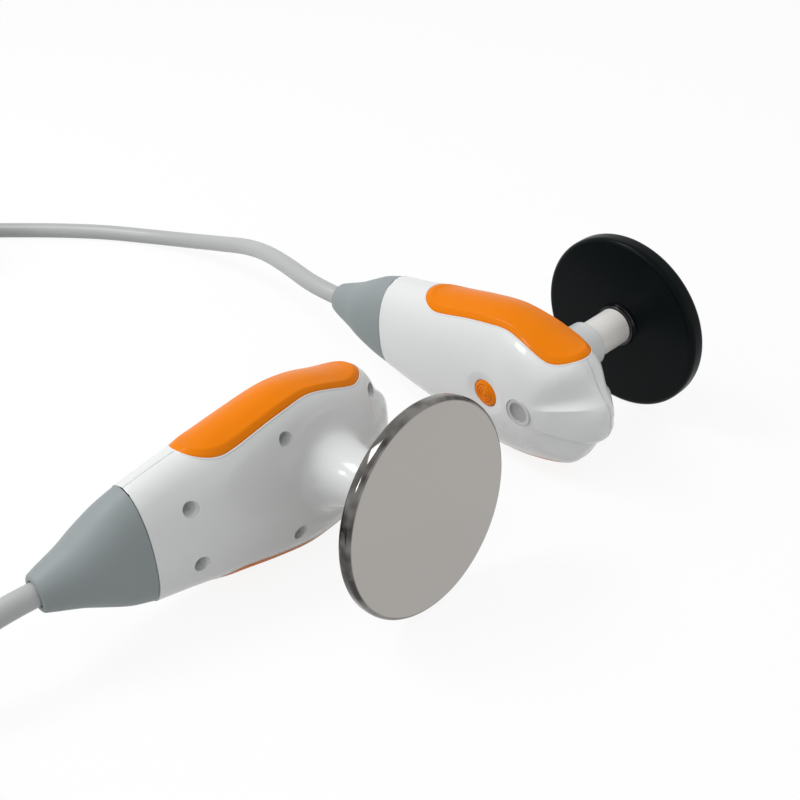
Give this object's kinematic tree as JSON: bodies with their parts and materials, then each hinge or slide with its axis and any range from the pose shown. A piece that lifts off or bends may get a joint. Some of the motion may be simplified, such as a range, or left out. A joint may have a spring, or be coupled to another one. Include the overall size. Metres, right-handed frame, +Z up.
{
  "type": "radio frequency therapy handpiece set",
  "caption": "Hand-held radio frequency electrodes on leads: flat round steel and black coated discs that pull out of white handles with orange grips and a push button.",
  "frame": {"origin": "on the table, under the middle of the box round the two handpieces, leads left out", "axes": "+Z up; -Y is towards the viewer of the picture and +X to the viewer's right"},
  "size_m": [0.4194, 0.4648, 0.0699],
  "materials": {
    "white_shell": "glossy",
    "orange_grip": "glossy",
    "grey_boot": "satin",
    "dark_clamp": "matt",
    "screw_steel": "satin",
    "orange_button": "glossy",
    "dark_switch_plastic": "matt",
    "switch_plastic": "matt",
    "grey_window": "glossy",
    "clear_led": "glossy",
    "green_board": "satin",
    "ivory_bush": "matt",
    "contact_brass": "polished",
    "black_seal": "matt",
    "pin_steel": "polished",
    "pale_sleeve": "satin",
    "polished_disc": "mirror polished",
    "dark_collar": "polished",
    "grey_lead": "satin",
    "wire_insulation": "satin",
    "plug_metal": "satin",
    "plug_boot": "matt",
    "black_coated_disc": "satin"
  },
  "bodies": {
    "steel handpiece": {"steel_electrode_side_shell": "white_shell", "steel_button_side_shell": "white_shell", "steel_left_grip": "orange_grip", "steel_right_grip": "orange_grip", "steel_cable_boot": "grey_boot", "steel_cable_clamp": "dark_clamp", "steel_case_screws": "screw_steel", "steel_switch_body": "switch_plastic", "steel_indicator_window": "grey_window", "steel_indicator_led": "clear_led", "steel_circuit_board": "green_board", "steel_socket_holder": "ivory_bush", "steel_electrode_socket": "contact_brass", "steel_neck_seal": "black_seal", "steel_inner_cable": "grey_lead", "steel_inner_leads": "wire_insulation", "steel_cord": "grey_lead", "steel_cord_coil": "grey_lead", "steel_cord_tail": "grey_lead", "steel_plug_body": "plug_metal", "steel_plug_pins": "contact_brass", "steel_plug_relief": "plug_boot"},
    "steel electrode": {"steel_electrode_disc": "polished_disc", "steel_disc_collar": "dark_collar", "steel_electrode_sleeve": "pale_sleeve", "steel_electrode_pin": "pin_steel"},
    "steel push button": {"steel_push_button": "orange_button", "steel_switch_plunger": "dark_switch_plastic"},
    "steel plug ring": {"steel_plug_ring": "plug_metal"},
    "black handpiece": {"black_electrode_side_shell": "white_shell", "black_button_side_shell": "white_shell", "black_left_grip": "orange_grip", "black_right_grip": "orange_grip", "black_cable_boot": "grey_boot", "black_cable_clamp": "dark_clamp", "black_case_screws": "screw_steel", "black_switch_body": "switch_plastic", "black_indicator_window": "grey_window", "black_indicator_led": "clear_led", "black_circuit_board": "green_board", "black_socket_holder": "ivory_bush", "black_electrode_socket": "contact_brass", "black_neck_seal": "black_seal", "black_inner_cable": "grey_lead", "black_inner_leads": "wire_insulation", "black_cord": "grey_lead", "black_cord_coil": "grey_lead", "black_cord_tail": "grey_lead", "black_plug_body": "plug_metal", "black_plug_pins": "contact_brass", "black_plug_relief": "plug_boot"},
    "black electrode": {"black_electrode_disc": "black_coated_disc", "black_disc_collar": "dark_collar", "black_electrode_sleeve": "pale_sleeve", "black_electrode_pin": "pin_steel"},
    "black push button": {"black_push_button": "orange_button", "black_switch_plunger": "dark_switch_plastic"},
    "black plug ring": {"black_plug_ring": "plug_metal"}
  },
  "joints": [
    {"name": "black handpiece lift", "type": "slide", "parent": "steel handpiece", "child": "black handpiece", "axis": [0, 0, 1], "range_m": [0, 0.1]},
    {"name": "steel electrode pull", "type": "slide", "parent": "steel handpiece", "child": "steel electrode", "axis": [0.742, -0.6643, 0.0906], "range_m": [0, 0.03]},
    {"name": "steel button press", "type": "slide", "parent": "steel handpiece", "child": "steel push button", "axis": [0.742, -0.6643, 0.0906], "range_m": [0, 0.001], "stiffness_N_per_m": 1800, "springref_m": -0.0004},
    {"name": "steel plug ring turn", "type": "hinge", "parent": "steel handpiece", "child": "steel plug ring", "pos_m": [-0.26265, -0.146, 0.008], "axis": [-1, 0, 0], "continuous": true},
    {"name": "black electrode pull", "type": "slide", "parent": "black handpiece", "child": "black electrode", "axis": [0.74, 0.6638, 0.1079], "range_m": [0, 0.03]},
    {"name": "black button press", "type": "slide", "parent": "black handpiece", "child": "black push button", "axis": [0.74, 0.6638, 0.1079], "range_m": [0, 0.001], "stiffness_N_per_m": 1800, "springref_m": -0.0004},
    {"name": "black plug ring turn", "type": "hinge", "parent": "black handpiece", "child": "black plug ring", "pos_m": [-0.30312, 0.06161, 0.008], "axis": [0.0168, -0.9999, 0], "continuous": true}
  ]
}
